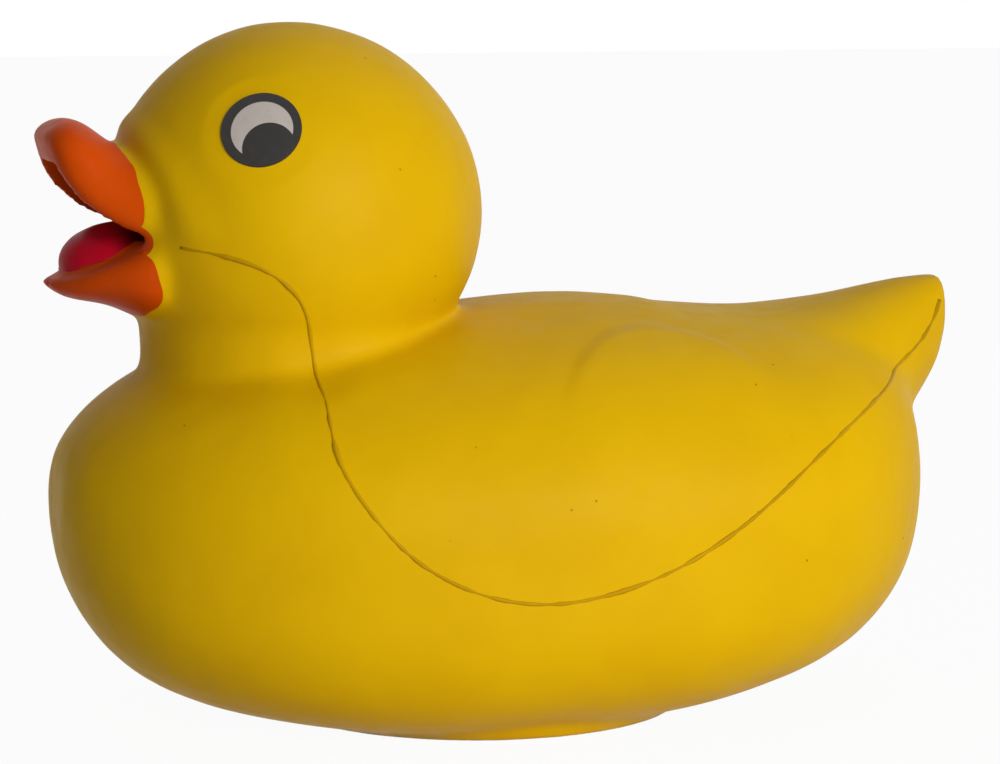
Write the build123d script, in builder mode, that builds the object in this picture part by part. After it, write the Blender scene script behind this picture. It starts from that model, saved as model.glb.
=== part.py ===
"""Floating chlorine dispenser in the shape of a duck.

A hollow duck floats on the pool. Its belly holds a round well that opens downwards. A slotted
basket with up to three tablets slides up into the well, a bayonet ring locks it there, and a dial
with four windows under the basket's floor sets how much water reaches the tablets.

Millimetres. +X is forward, towards the bill, +Y is the duck's left and +Z is up. The origin is on
the well's axis, in the plane of the foot ring on which the duck stands.
"""

import os
from math import cos, pi, radians, sin

from build123d import *

# ---------------------------------------------------------------- driving dimensions: the duck
body_length = 289.5
body_width = 198.0
body_centre_x = -3.3
back_clearance = 27.3
head_radius = 60.7
head_forward = 65.4
head_above_back = 33.3
mouth_drop = 7.3
neck_waist = 11.0
neck_rounding = 9.0
wall = 3.0
eye_radius = 12.7
eye_thickness = 1.0
eye_proud = 0.2
neck_depth = 39.0

# ---------------------------------------------------------------- driving dimensions: the dispenser
tablet_diameter = 76.2
tablet_height = 25.4
tablets_held = 3
tablet_clearance = 1.4
tablet_headroom = 2.0
basket_wall = 1.8
basket_floor = 3.5
slide_clearance = 0.7
turning_clearance = 0.4
well_wall = 3.0
well_rounding = 4.0
well_headroom = 3.0
flange_thickness = 3.0
gasket_thickness = 1.0
floor_thickness = 3.0
ground_clearance = 1.0
foot_width = 9.0
ballast_height = 10.0
ballast_share = 0.0631
screw_radius = 2.0
screw_count = 6
window_count = 4
lug_count = 3
slot_count = 12
lug_reach = 2.2
collar_wall = 2.2
collar_roof = 2.0
flange_reach = 11.3
flange_margin = 0.5
screw_shift = 0.35
screw_clearance = 0.2
ballast_gap = 2.3
ballast_chamfer = 1.0
groove_height = 4.0
ring_rise = 0.6
rib_height = 6.0
spigot_step = 8.7
spigot_wall = 2.2
spigot_lift = 1.0
dial_gap = 0.3
window_margin = 2.0
cross_width = 0.9
cross_length = 4.4
cross_depth = 1.2

# ---------------------------------------------------------------- worked out: radii, from the tablet out
basket_inner = tablet_diameter / 2 + tablet_clearance
basket_outer = basket_inner + basket_wall
bore_radius = basket_outer + slide_clearance
key_reach = 1.2
key_groove = bore_radius + key_reach + turning_clearance
lug_radius = bore_radius + lug_reach
lug_groove = lug_radius + turning_clearance
well_outer = bore_radius + well_wall
collar_outer = lug_groove + collar_wall
floor_hole = collar_outer + turning_clearance
flange_radius = floor_hole + flange_reach
recess_radius = flange_radius + flange_margin
foot_radius = recess_radius + foot_width
screw_circle = (collar_outer + flange_radius) / 2 + screw_shift
screw_bore = screw_radius + screw_clearance
ballast_inner = floor_hole + ballast_gap
ballast_outer = ballast_inner + ballast_share * body_width

# ---------------------------------------------------------------- worked out: heights, from the ground up
flange_top = ground_clearance + flange_thickness
floor_under = flange_top + gasket_thickness
floor_top = floor_under + floor_thickness
groove_floor = floor_under
groove_top = groove_floor + groove_height
ring_top = groove_top + ring_rise
basket_bottom = ring_top + turning_clearance
floor_surface = basket_bottom + basket_floor
rib_top = floor_surface + rib_height
stack_top = rib_top + tablets_held * tablet_height
basket_rim = stack_top + tablet_headroom
well_ceiling = basket_rim + well_headroom
well_top = well_ceiling + well_wall

# ---------------------------------------------------------------- worked out: the duck round the well
back_height = well_top + back_clearance
half_length = body_length / 2
rump_x = body_centre_x - half_length
head_x = body_centre_x + head_forward
head_z = back_height + head_above_back
head_front = head_x + head_radius
mouth_z = head_z - mouth_drop
neck_radius = head_radius - neck_waist
neck_foot = back_height - neck_depth

# ---------------------------------------------------------------- worked out: the turning parts
spigot_outer = basket_outer - spigot_step
spigot_inner = spigot_outer - spigot_wall
spigot_bottom = ground_clearance + spigot_lift
ring_inner = spigot_outer + turning_clearance
dial_radius = spigot_inner - turning_clearance
dial_thickness = 2.5
dial_top = basket_bottom - dial_gap
dial_bottom = dial_top - dial_thickness
window_inner = 9.0
window_outer = dial_radius - window_margin
window_angle = 44.0
lug_angle = 24.0
lug_entry_angle = 29.0
lock_turn = 40.0
stop_angle = 6.0
stop_clearance = 1.0
stop_bite = 0.5
key_width = 4.0
key_slot_depth = 4.0
centre_screw = 2.5
centre_clearance = 0.1

# ---------------------------------------------------------------- the duck's outline
# Each station: place along the half-length, then half-width, underside and top as shares of
# half the body's width, and of the back's height.
body_stations = [
    (0.993, 0.17, 0.460, 0.640),
    (0.955, 0.38, 0.305, 0.722),
    (0.870, 0.57, 0.168, 0.808),
    (0.720, 0.76, 0.070, 0.898),
    (0.420, 0.94, 0.002, 0.975),
    (0.000, 1.00, -0.008, 1.012),
    (-0.400, 0.95, 0.018, 1.004),
    (-0.720, 0.79, 0.106, 0.968),
    (-0.880, 0.58, 0.206, 0.918),
    (-0.960, 0.37, 0.322, 0.830),
    (-0.993, 0.17, 0.460, 0.700),
]
round_power = 2.2
flat_power = 3.4
ring_points = 16
end_rounding = 10.0
# Each tail station: how far past the rump, half-width, then underside and top from the back's height.
tail_stations = [
    (-94.9, 66.0, -81.0, -2.6),
    (-54.9, 54.0, -69.0, -1.8),
    (-20.9, 36.0, -51.0, 2.4),
    (0.6, 21.0, -39.0, 6.8),
    (13.6, 9.0, -15.0, 6.6),
]
# The line where the two shells meet. On the head, from the corner of the mouth: how far behind the
# head's front and below the mouth. On the body: places as shares of the half-length and the back's
# height. On the tail: how far past the rump and above or below the back.
seam_on_head = [(13.3, 0.0), (26.4, 2.1), (42.9, 8.3), (52.6, 18.0)]
seam_on_body = [
    (0.482, 0.973),
    (0.474, 0.850),
    (0.474, 0.729),
    (0.423, 0.609),
    (0.330, 0.493),
    (0.201, 0.411),
    (0.060, 0.377),
    (-0.092, 0.392),
    (-0.251, 0.447),
    (-0.440, 0.567),
    (-0.631, 0.706),
    (-0.843, 0.816),
]
seam_on_tail = [(0.0, -12.8), (10.2, -0.6)]
seam_points = [(head_front - back, mouth_z - down) for back, down in seam_on_head]
seam_points += [(body_centre_x + along * half_length, up * back_height) for along, up in seam_on_body]
seam_points += [(rump_x - past, back_height + up) for past, up in seam_on_tail]
# Each bill section: its middle ahead of the head's front and above or below the mouth, pitch,
# half-width, reach above and reach below.
upper_bill_sections = [
    (-14.5, 9.8, 0.0, 36.0, 20.0, 14.6),
    (-5.5, 10.6, 10.0, 33.0, 19.0, 9.5),
    (4.5, 15.8, 30.0, 29.0, 16.0, 8.0),
    (15.3, 30.2, 45.0, 22.0, 8.6, 6.0),
    (18.0, 34.6, 55.0, 11.0, 3.2, 3.5),
]
lower_bill_sections = [
    (-14.5, -8.2, 0.0, 36.0, 14.0, 18.0),
    (-3.8, -10.2, 0.0, 33.0, 8.0, 13.2),
    (3.2, -11.2, 0.0, 28.0, 5.0, 9.7),
    (11.2, -13.2, 0.0, 20.0, 3.0, 6.2),
    (17.7, -14.2, 0.0, 10.0, 1.5, 2.3),
    (20.4, -13.2, 0.0, 3.5, 0.8, 1.1),
]
# The hollow under the upper bill, from the throat to just behind the lip.
mouth_sections = [
    (-10.8, 7.8, 0.0, 29.0, 13.0, 26.0),
    (-5.5, 10.6, 10.0, 27.0, 12.5, 28.0),
    (4.5, 15.8, 30.0, 23.0, 9.0, 26.0),
    (14.3, 28.4, 45.0, 14.0, 2.5, 24.0),
]
tongue_x = head_front - 6.3
tongue_z = mouth_z - 8.2
tongue_radius = 21.0
tongue_rise = 12.8
tongue_back = head_front - 10.5
tongue_seat = mouth_z - 13.7
eye_turn = 68.0
eye_lift = 29.0
white_radius = 9.75
white_shift = 0.4
pupil_radius = 8.4
pupil_back = 3.1
pupil_drop = 6.5
far = 200.0


# ---------------------------------------------------------------- shapes used more than once
def power_ring(half_w, above, below, upper_power, lower_power):
    """Points round a section with unlike upper and lower halves, the left side first."""
    points = []
    for i in range(ring_points):
        angle = 2 * pi * i / ring_points
        across, up = cos(angle), sin(angle)
        is_upper = i <= ring_points // 2
        power = upper_power if is_upper else lower_power
        reach = above if is_upper else below
        y = half_w * abs(across) ** (2 / power) * (1 if across >= 0 else -1)
        z = reach * abs(up) ** (2 / power) * (1 if up >= 0 else -1)
        points.append((y, z))
    return points


def section_face(plane, points):
    """The face inside one smooth closed curve through the points, drawn on the plane."""
    with BuildSketch(plane) as section:
        with BuildLine():
            Spline(*points, periodic=True)
        make_face()
    return section.sketch


def body_form(inset):
    """The duck's body, with its whole surface moved in by inset."""
    shrink = (half_length - inset) / half_length
    with BuildPart() as form:
        sections = []
        for along, width, low, high in body_stations:
            lowest = low * back_height + inset
            highest = high * back_height - inset
            middle = (lowest + highest) / 2
            lower_power = round_power + (flat_power - round_power) * (1 - along**2)
            ring = power_ring(
                width * body_width / 2 - inset, highest - middle, middle - lowest, round_power, lower_power
            )
            plane = Plane.YZ.offset(body_centre_x + along * half_length * shrink)
            sections.append(section_face(plane, [(y, middle + z) for y, z in ring]))
        loft(sections=sections)
        ends = form.edges().sort_by(Axis.X)
        fillet([ends[0], ends[-1]], end_rounding)
    return form.part


def tail_form(inset):
    """The tail, which rises out of the body's back."""
    tail_root = tail_stations[0][0]
    tail_tip = tail_stations[-1][0]
    with BuildPart() as form:
        sections = []
        for past, half_w, low, high in tail_stations:
            along = (past - tail_root) / (tail_tip - tail_root)
            middle = back_height + (low + high) / 2
            reach = (high - low) / 2 - inset
            ring = power_ring(half_w - inset, reach, reach, round_power, round_power)
            plane = Plane.YZ.offset(rump_x - past + inset * along)
            sections.append(section_face(plane, [(y, middle + z) for y, z in ring]))
        loft(sections=sections)
    return form.part


def head_form(inset):
    """The round head on its neck, which runs down inside the body."""
    radius = head_radius - inset
    column = neck_radius - inset
    with BuildPart() as form:
        with BuildSketch(Plane.XZ):
            with Locations((head_x, head_z)):
                Circle(radius)
            with Locations((head_x, (head_z + neck_foot) / 2)):
                Rectangle(2 * column, head_z - neck_foot)
            with Locations((head_x - far / 2, head_z)):
                Rectangle(far, 2 * far, mode=Mode.SUBTRACT)
            above_foot = vertices().sort_by(Axis.Y)[2]
            fillet(above_foot, neck_rounding + inset)
        revolve(axis=Axis((head_x, 0, 0), (0, 0, 1)))
    return form.part


def duck_form(inset):
    """Body, tail, head and neck in one, with the whole surface moved in by inset."""
    with BuildPart() as form:
        add(body_form(inset))
        add(tail_form(inset))
        add(head_form(inset))
        split(bisect_by=Plane.XY.offset(inset), keep=Keep.TOP)
    return form.part


def bill_form(bill_sections, upper_power, lower_power):
    """One half of the bill, from its root inside the head to its lip."""
    with BuildPart() as form:
        sections = []
        for ahead, up, pitch, half_w, above, below in bill_sections:
            lean = (cos(radians(pitch)), 0, sin(radians(pitch)))
            plane = Plane(origin=(head_front + ahead, 0, mouth_z + up), x_dir=(0, 1, 0), z_dir=lean)
            sections.append(section_face(plane, power_ring(half_w, above, below, upper_power, lower_power)))
        loft(sections=sections)
    return form.part


def ring_between(inner, outer, bottom, top):
    """A plain ring about the well's axis."""
    with BuildPart() as ring:
        with BuildSketch(Plane.XY.offset(bottom)):
            Circle(outer)
            if inner > 0:
                Circle(inner, mode=Mode.SUBTRACT)
        extrude(amount=top - bottom)
    return ring.part


def sectors(inner, outer, angle, count, first_angle, bottom, top):
    """Equal pieces of a ring about the well's axis, evenly spaced round it."""
    with BuildPart() as pieces:
        with BuildSketch(Plane.XY.offset(bottom)):
            for i in range(count):
                start = first_angle + i * 360 / count - angle / 2
                with BuildLine():
                    near = CenterArc((0, 0), inner, start, angle)
                    distant = CenterArc((0, 0), outer, start, angle)
                    Line(near @ 0, distant @ 0)
                    Line(near @ 1, distant @ 1)
                make_face()
        extrude(amount=top - bottom)
    return pieces.part


def round_posts(radius, circle, count, first_angle, bottom, top):
    """Equal round posts on a circle about the well's axis."""
    with BuildPart() as posts:
        with BuildSketch(Plane.XY.offset(bottom)):
            with PolarLocations(circle, count, start_angle=first_angle):
                Circle(radius)
        extrude(amount=top - bottom)
    return posts.part


lug_first = 90.0
stop_first = lug_first + lock_turn + (lug_angle + stop_angle) / 2 + stop_clearance
screw_first = 30.0
window_first = 0.0

# ---------------------------------------------------------------- the duck's shells
bill_above = bill_form(upper_bill_sections, round_power, flat_power)
bill_below = bill_form(lower_bill_sections, flat_power, round_power)
mouth_hollow = bill_form(mouth_sections, round_power, flat_power)
duck_outside = duck_form(0)
duck_inside = duck_form(wall)

with BuildPart() as above_seam:
    with BuildSketch(Plane.XZ):
        with BuildLine():
            seam = Spline(*seam_points)
            Polyline(
                seam @ 0,
                (far, seam_points[0][1]),
                (far, 2 * far),
                (-far, 2 * far),
                (-far, seam_points[-1][1]),
                seam @ 1,
            )
        make_face()
    extrude(amount=far, both=True)


def eye_cylinder(side, radius, back, drop):
    """A bar along the eye's line of sight, moved back and down over the head's surface."""
    turn = radians(eye_turn)
    lift = radians(eye_lift)
    out = Vector(cos(lift) * cos(turn), side * cos(lift) * sin(turn), sin(lift))
    forward = Vector(sin(turn), -side * cos(turn), 0)
    upward = Vector(-sin(lift) * cos(turn), -side * sin(lift) * sin(turn), cos(lift))
    start = Vector(head_x, 0, head_z) + out * (head_radius / 2) - forward * back - upward * drop
    with BuildPart() as bar:
        with BuildSketch(Plane(origin=start, x_dir=forward, z_dir=out)):
            Circle(radius)
        extrude(amount=head_radius)
    return bar.part


def eye_layer():
    """A thin skin let into the head's surface and standing just proud of it."""
    with BuildPart() as layer:
        with Locations((head_x, 0, head_z)):
            Sphere(head_radius + eye_thickness * eye_proud)
            Sphere(head_radius - eye_thickness * (1 - eye_proud), mode=Mode.SUBTRACT)
    return layer.part


eye_skin = eye_layer()
eye_nodes = []
for side, side_name in ((1, "left"), (-1, "right")):
    with BuildPart() as glint:
        add(eye_skin)
        add(eye_cylinder(side, white_radius, white_shift, white_shift), mode=Mode.INTERSECT)
        add(eye_cylinder(side, pupil_radius, pupil_back, pupil_drop), mode=Mode.SUBTRACT)
    glint.part.label = side_name + "_eye_glint"
    with BuildPart() as eye_disc:
        add(eye_skin)
        add(eye_cylinder(side, eye_radius, 0, 0), mode=Mode.INTERSECT)
        add(glint.part, mode=Mode.SUBTRACT)
    eye_disc.part.label = side_name + "_eye_disc"
    eye_nodes += [glint.part, eye_disc.part]

with BuildPart() as upper_shell:
    add(duck_outside)
    add(duck_inside, mode=Mode.SUBTRACT)
    add(above_seam.part, mode=Mode.INTERSECT)
    add(bill_above, mode=Mode.SUBTRACT)
    add(mouth_hollow, mode=Mode.SUBTRACT)
    for eye_node in eye_nodes:
        add(eye_node, mode=Mode.SUBTRACT)
upper_shell.part.label = "upper_shell"

foot_rounding = 2.5
with BuildPart() as foot:
    with BuildSketch(Plane.XY):
        Circle(foot_radius)
    extrude(amount=floor_top)
    fillet(foot.faces().sort_by(Axis.Z)[0].edges(), foot_rounding)

with BuildPart() as lower_shell:
    add(duck_outside)
    add(duck_inside, mode=Mode.SUBTRACT)
    add(above_seam.part, mode=Mode.SUBTRACT)
    add(bill_below, mode=Mode.SUBTRACT)
    add(mouth_hollow, mode=Mode.SUBTRACT)
    add(foot.part)
    add(ring_between(0, recess_radius, 0, floor_under), mode=Mode.SUBTRACT)
    add(ring_between(0, floor_hole, 0, floor_top), mode=Mode.SUBTRACT)
    add(
        round_posts(screw_bore, screw_circle, screw_count, screw_first, 0, floor_top),
        mode=Mode.SUBTRACT,
    )
lower_shell.part.label = "lower_shell"

with BuildPart() as upper_bill:
    add(bill_above)
    add(above_seam.part, mode=Mode.INTERSECT)
    add(mouth_hollow, mode=Mode.SUBTRACT)
upper_bill.part.label = "upper_bill"

with BuildPart() as tongue:
    with BuildSketch(Plane.XZ):
        with Locations((tongue_x, tongue_z)):
            Ellipse(tongue_radius, tongue_rise)
        with Locations((tongue_x - far / 2, tongue_z)):
            Rectangle(far, far, mode=Mode.SUBTRACT)
    revolve(axis=Axis((tongue_x, 0, 0), (0, 0, 1)))
    split(bisect_by=Plane.XY.offset(tongue_seat), keep=Keep.TOP)
    split(bisect_by=Plane.YZ.offset(tongue_back), keep=Keep.TOP)
tongue.part.label = "tongue"

with BuildPart() as lower_bill:
    add(bill_below)
    add(above_seam.part, mode=Mode.SUBTRACT)
    add(tongue.part, mode=Mode.SUBTRACT)
lower_bill.part.label = "lower_bill"

# ---------------------------------------------------------------- the well and what holds it
countersink_radius = 3.8
countersink_depth = countersink_radius - screw_radius
with BuildPart() as screw_cones:
    with PolarLocations(screw_circle, screw_count, start_angle=screw_first):
        with Locations((0, 0, ground_clearance + countersink_depth / 2)):
            Cone(countersink_radius, screw_radius, countersink_depth)

with BuildPart() as well_cup:
    add(ring_between(0, flange_radius, ground_clearance, flange_top))
    add(ring_between(0, collar_outer, ground_clearance, groove_top + collar_roof))
    add(ring_between(0, well_outer, ground_clearance, well_top))
    fillet(well_cup.faces().sort_by(Axis.Z)[-1].edges(), well_rounding)
    add(ring_between(0, bore_radius, ground_clearance, well_ceiling), mode=Mode.SUBTRACT)
    add(ring_between(0, lug_groove, groove_floor, groove_top), mode=Mode.SUBTRACT)
    add(
        sectors(
            bore_radius,
            lug_groove + stop_bite,
            stop_angle,
            lug_count,
            stop_first,
            groove_floor - stop_bite,
            groove_top + stop_bite,
        )
    )
    add(
        sectors(
            bore_radius - 1,
            lug_groove,
            lug_entry_angle,
            lug_count,
            lug_first,
            ground_clearance,
            groove_top,
        ),
        mode=Mode.SUBTRACT,
    )
    with BuildSketch(Plane.XY.offset(groove_top)):
        with PolarLocations(key_groove - key_slot_depth / 2, lug_count, start_angle=lug_first):
            Rectangle(key_slot_depth, key_width + 2 * turning_clearance)
    extrude(amount=basket_rim - groove_top, mode=Mode.SUBTRACT)
    add(
        round_posts(screw_bore, screw_circle, screw_count, screw_first, ground_clearance, flange_top),
        mode=Mode.SUBTRACT,
    )
    add(screw_cones.part, mode=Mode.SUBTRACT)
well_cup.part.label = "well_cup"

with BuildPart() as well_gasket:
    add(ring_between(floor_hole, flange_radius, flange_top, floor_under))
    add(
        round_posts(screw_bore, screw_circle, screw_count, screw_first, flange_top, floor_under),
        mode=Mode.SUBTRACT,
    )
well_gasket.part.label = "well_gasket"

tip_cover = 2.0
screw_tip = floor_top + ballast_height - tip_cover
with BuildPart() as flange_screws:
    add(round_posts(screw_radius, screw_circle, screw_count, screw_first, ground_clearance, screw_tip))
    add(screw_cones.part)
    with BuildSketch(Plane.XY.offset(ground_clearance)):
        with PolarLocations(screw_circle, screw_count, start_angle=screw_first):
            Rectangle(cross_width, cross_length)
            Rectangle(cross_length, cross_width)
    extrude(amount=cross_depth, mode=Mode.SUBTRACT)
flange_screws.part.label = "flange_screws"

with BuildPart() as ballast_ring:
    add(ring_between(ballast_inner, ballast_outer, floor_top, floor_top + ballast_height))
    chamfer(ballast_ring.edges().group_by(Axis.Z)[-1], ballast_chamfer)
    add(
        round_posts(screw_radius, screw_circle, screw_count, screw_first, floor_top, screw_tip),
        mode=Mode.SUBTRACT,
    )
ballast_ring.part.label = "ballast_ring"

# ---------------------------------------------------------------- the basket and its fittings
seal_groove_depth = 1.1
seal_lift = 0.8
seal_height = 1.9
seal_clearance = 0.2
clip_lift = 0.2
clip_thickness = 1.2
clip_bite = 1.0
clip_reach = 2.4
clip_clearance = 0.5
groove_radius = basket_outer - seal_groove_depth
seal_bottom = basket_bottom + seal_lift
clip_bottom = spigot_bottom + clip_lift
clip_top = clip_bottom + clip_thickness
clip_groove = spigot_outer - clip_bite
clip_outer = spigot_outer + clip_reach
counterbore = clip_outer + clip_clearance
slot_width = 3.6
slot_lift = 4.0
slot_cover = 10.0
key_lift = 2.0
key_root = 1.0
rib_root = 0.3
slot_bottom = rib_top + slot_lift
slot_top = basket_rim - slot_cover
key_bottom = seal_bottom + seal_height + key_lift
key_middle = (basket_outer - key_root + bore_radius + key_reach) / 2
rib_width = 3.0
mid_web = 45.0
with BuildPart() as basket:
    add(ring_between(0, basket_outer, basket_bottom, basket_rim))
    add(ring_between(0, basket_inner, floor_surface, basket_rim), mode=Mode.SUBTRACT)
    with BuildSketch(Plane.XY.offset(slot_bottom)):
        with PolarLocations(basket_inner, slot_count, start_angle=lug_first + 180 / slot_count):
            Rectangle(4 * basket_wall, slot_width)
    extrude(amount=slot_top - slot_bottom, mode=Mode.SUBTRACT)
    with BuildSketch(Plane.XY.offset(key_bottom)):
        with PolarLocations(key_middle, lug_count, start_angle=lug_first):
            Rectangle(slide_clearance + key_reach + key_root, key_width)
    extrude(amount=slot_top - key_bottom)
    with BuildSketch(Plane.XY.offset(floor_surface)):
        rib_circle = (basket_inner + window_inner) / 2
        with PolarLocations(rib_circle, window_count, start_angle=window_first + mid_web):
            Rectangle(basket_inner - window_inner + 2 * rib_root, rib_width)
    extrude(amount=rib_top - floor_surface)
    add(
        sectors(
            window_inner,
            window_outer,
            window_angle,
            window_count,
            window_first,
            basket_bottom,
            floor_surface,
        ),
        mode=Mode.SUBTRACT,
    )
    add(ring_between(groove_radius, far, seal_bottom, seal_bottom + seal_height), mode=Mode.SUBTRACT)
    add(ring_between(spigot_inner, spigot_outer, spigot_bottom, basket_bottom))
    add(ring_between(clip_groove, spigot_outer, clip_bottom, clip_top), mode=Mode.SUBTRACT)
    add(ring_between(0, centre_screw, 0, floor_surface), mode=Mode.SUBTRACT)
basket.part.label = "basket"

seal_radius = (seal_height - seal_clearance) / 2
seal_circle = groove_radius + seal_radius
with BuildPart() as basket_seal:
    with Locations((0, 0, seal_bottom + seal_height / 2)):
        Torus(seal_circle, seal_radius)
basket_seal.part.label = "basket_seal"

clip_gap = 40.0
with BuildPart() as ring_clip:
    add(ring_between(clip_groove, clip_outer, clip_bottom, clip_top))
    add(
        sectors(
            clip_groove - clip_bite,
            clip_outer + clip_bite,
            clip_gap,
            1,
            window_first,
            clip_bottom,
            clip_top,
        ),
        mode=Mode.SUBTRACT,
    )
ring_clip.part.label = "ring_clip"

lug_play = 0.5
pocket_wall = 1.2
pocket_rim = 1.4
mark_depth = 0.8
lug_bottom = groove_floor + lug_play
lug_top = groove_top - lug_play
pocket_inner = counterbore + pocket_wall
pocket_outer = basket_outer - pocket_rim
with BuildPart() as lock_ring:
    add(ring_between(ring_inner, basket_outer, ground_clearance, ring_top))
    add(ring_between(0, counterbore, ground_clearance, clip_top + turning_clearance), mode=Mode.SUBTRACT)
    add(
        sectors(
            pocket_inner,
            pocket_outer,
            3 * lug_angle,
            lug_count,
            lug_first,
            ground_clearance,
            groove_floor,
        ),
        mode=Mode.SUBTRACT,
    )
    lug_root = basket_outer - pocket_rim / 2
    add(sectors(lug_root, lug_radius, lug_angle, lug_count, lug_first, lug_bottom, lug_top))
    with BuildSketch(Plane.XY.offset(ground_clearance)):
        pocket_circle = (pocket_inner + pocket_outer) / 2
        with PolarLocations(pocket_circle, lug_count, start_angle=lug_first + 180 / lug_count):
            RegularPolygon((pocket_outer - pocket_inner) / 2, 3)
    extrude(amount=mark_depth, mode=Mode.SUBTRACT)
lock_ring.part.label = "lock_ring"

# ---------------------------------------------------------------- the dial and its pivot
bar_width = 7.0
bar_lift = 0.4
bar_inset = 2.0
bar_chamfer = 0.8
hub_radius = 7.5
head_recess = 5.2
head_height = 2.4
pointer_size = 2.2
pointer_inset = 7.0
bar_bottom = ground_clearance + bar_lift
head_bottom = dial_bottom - head_height
with BuildPart() as flow_dial:
    add(ring_between(0, dial_radius, dial_bottom, dial_top))
    add(
        sectors(window_inner, window_outer, window_angle, window_count, window_first, dial_bottom, dial_top),
        mode=Mode.SUBTRACT,
    )
    with BuildSketch(Plane.XY.offset(bar_bottom).rotated((0, 0, mid_web))):
        SlotOverall(2 * (dial_radius - bar_inset), bar_width)
        Circle(hub_radius)
    extrude(amount=dial_bottom - bar_bottom)
    chamfer(flow_dial.edges().group_by(Axis.Z)[0], bar_chamfer)
    add(ring_between(0, head_recess, bar_bottom, dial_bottom), mode=Mode.SUBTRACT)
    add(ring_between(0, centre_screw + centre_clearance, dial_bottom, dial_top), mode=Mode.SUBTRACT)
    with BuildSketch(Plane.XY.offset(bar_bottom).rotated((0, 0, mid_web))):
        with Locations((dial_radius - pointer_inset, 0)):
            RegularPolygon(pointer_size, 3)
    extrude(amount=mark_depth, mode=Mode.SUBTRACT)
flow_dial.part.label = "flow_dial"

washer_thickness = 1.0
washer_radius = 5.5
nut_height = 2.7
nut_radius = 4.0
thread_past_nut = 0.8
head_radius_of_screw = 4.5
head_gap = 0.1
head_rounding = 1.2
slot_in_head = 5.4
slot_in_head_depth = 1.4
nut_bottom = floor_surface + washer_thickness
with BuildPart() as dial_screw:
    add(ring_between(0, centre_screw, dial_bottom - head_gap, nut_bottom + nut_height + thread_past_nut))
    add(ring_between(0, head_radius_of_screw, head_bottom, dial_bottom - head_gap))
    fillet(dial_screw.edges().group_by(Axis.Z)[0], head_rounding)
    with BuildSketch(Plane.XY.offset(head_bottom)):
        Rectangle(cross_depth, slot_in_head)
        Rectangle(slot_in_head, cross_depth)
    extrude(amount=slot_in_head_depth, mode=Mode.SUBTRACT)
dial_screw.part.label = "dial_screw"

with BuildPart() as dial_washer:
    add(ring_between(centre_screw, washer_radius, floor_surface, nut_bottom))
dial_washer.part.label = "dial_washer"

with BuildPart() as dial_nut:
    with BuildSketch(Plane.XY.offset(nut_bottom)):
        RegularPolygon(nut_radius, 6, major_radius=False)
        Circle(centre_screw, mode=Mode.SUBTRACT)
    extrude(amount=nut_height)
dial_nut.part.label = "dial_nut"

# ---------------------------------------------------------------- write every piece
os.makedirs("parts", exist_ok=True)
export_step(upper_shell.part, "parts/upper_shell.step")
export_step(lower_shell.part, "parts/lower_shell.step")
export_step(upper_bill.part, "parts/upper_bill.step")
export_step(lower_bill.part, "parts/lower_bill.step")
export_step(tongue.part, "parts/tongue.step")
for eye_node in eye_nodes:
    export_step(eye_node, "parts/" + eye_node.label + ".step")
export_step(well_cup.part, "parts/well_cup.step")
export_step(well_gasket.part, "parts/well_gasket.step")
export_step(flange_screws.part, "parts/flange_screws.step")
export_step(ballast_ring.part, "parts/ballast_ring.step")
export_step(basket.part, "parts/basket.step")
export_step(basket_seal.part, "parts/basket_seal.step")
export_step(ring_clip.part, "parts/ring_clip.step")
export_step(lock_ring.part, "parts/lock_ring.step")
export_step(flow_dial.part, "parts/flow_dial.step")
export_step(dial_screw.part, "parts/dial_screw.step")
export_step(dial_washer.part, "parts/dial_washer.step")
export_step(dial_nut.part, "parts/dial_nut.step")
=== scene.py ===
# %% [markdown]
# # A floating duck that feeds chlorine to a pool
#
# The object is a hollow yellow duck, moulded in soft matte vinyl as two shells that meet along a
# welded seam. Its bill and tongue are coloured, its eyes are printed, and its belly holds a round
# well with a removable tablet basket, a lock ring and a flow dial.
#
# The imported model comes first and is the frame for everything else: it holds every real size, and
# its moving parts. The duck's skin is then remade round it as one soft continuous surface, because
# the crease at the neck, the blend of the bill into the cheek and the slight unevenness of a
# moulding are what the eye reads as vinyl. The parts under the belly keep their exact shapes and
# get finishes of their own.

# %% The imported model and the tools
import math

import bmesh
import bpy
from mathutils import Matrix, Vector, noise
from mathutils.bvhtree import BVHTree


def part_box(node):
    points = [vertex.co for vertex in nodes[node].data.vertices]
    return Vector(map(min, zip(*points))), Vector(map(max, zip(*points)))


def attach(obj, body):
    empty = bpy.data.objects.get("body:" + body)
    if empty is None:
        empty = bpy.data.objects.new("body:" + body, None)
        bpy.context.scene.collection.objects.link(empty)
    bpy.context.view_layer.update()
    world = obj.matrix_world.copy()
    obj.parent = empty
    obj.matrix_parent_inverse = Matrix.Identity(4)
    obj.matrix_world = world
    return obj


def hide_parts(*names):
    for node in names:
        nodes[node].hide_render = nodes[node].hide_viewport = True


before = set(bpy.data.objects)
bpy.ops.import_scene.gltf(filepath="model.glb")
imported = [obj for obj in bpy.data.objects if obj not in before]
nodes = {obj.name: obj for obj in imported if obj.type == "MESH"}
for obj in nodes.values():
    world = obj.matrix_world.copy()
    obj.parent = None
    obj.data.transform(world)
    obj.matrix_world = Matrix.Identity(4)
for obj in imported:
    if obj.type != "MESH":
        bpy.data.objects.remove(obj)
scene = bpy.context.scene
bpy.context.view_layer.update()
mm = 0.001

# %% [markdown]
# ## Places taken from the frame
#
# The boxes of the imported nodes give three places. The head is a ball whose top is the top of the
# upper shell. The bill's halves meet at the level of the mouth, so the underside of the upper bill
# gives that level. The well cup's box gives the flange's radius. A box can't give the head's radius
# and place, the wall, or the foot's heights and hole, so the design's own values are repeated here.

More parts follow.
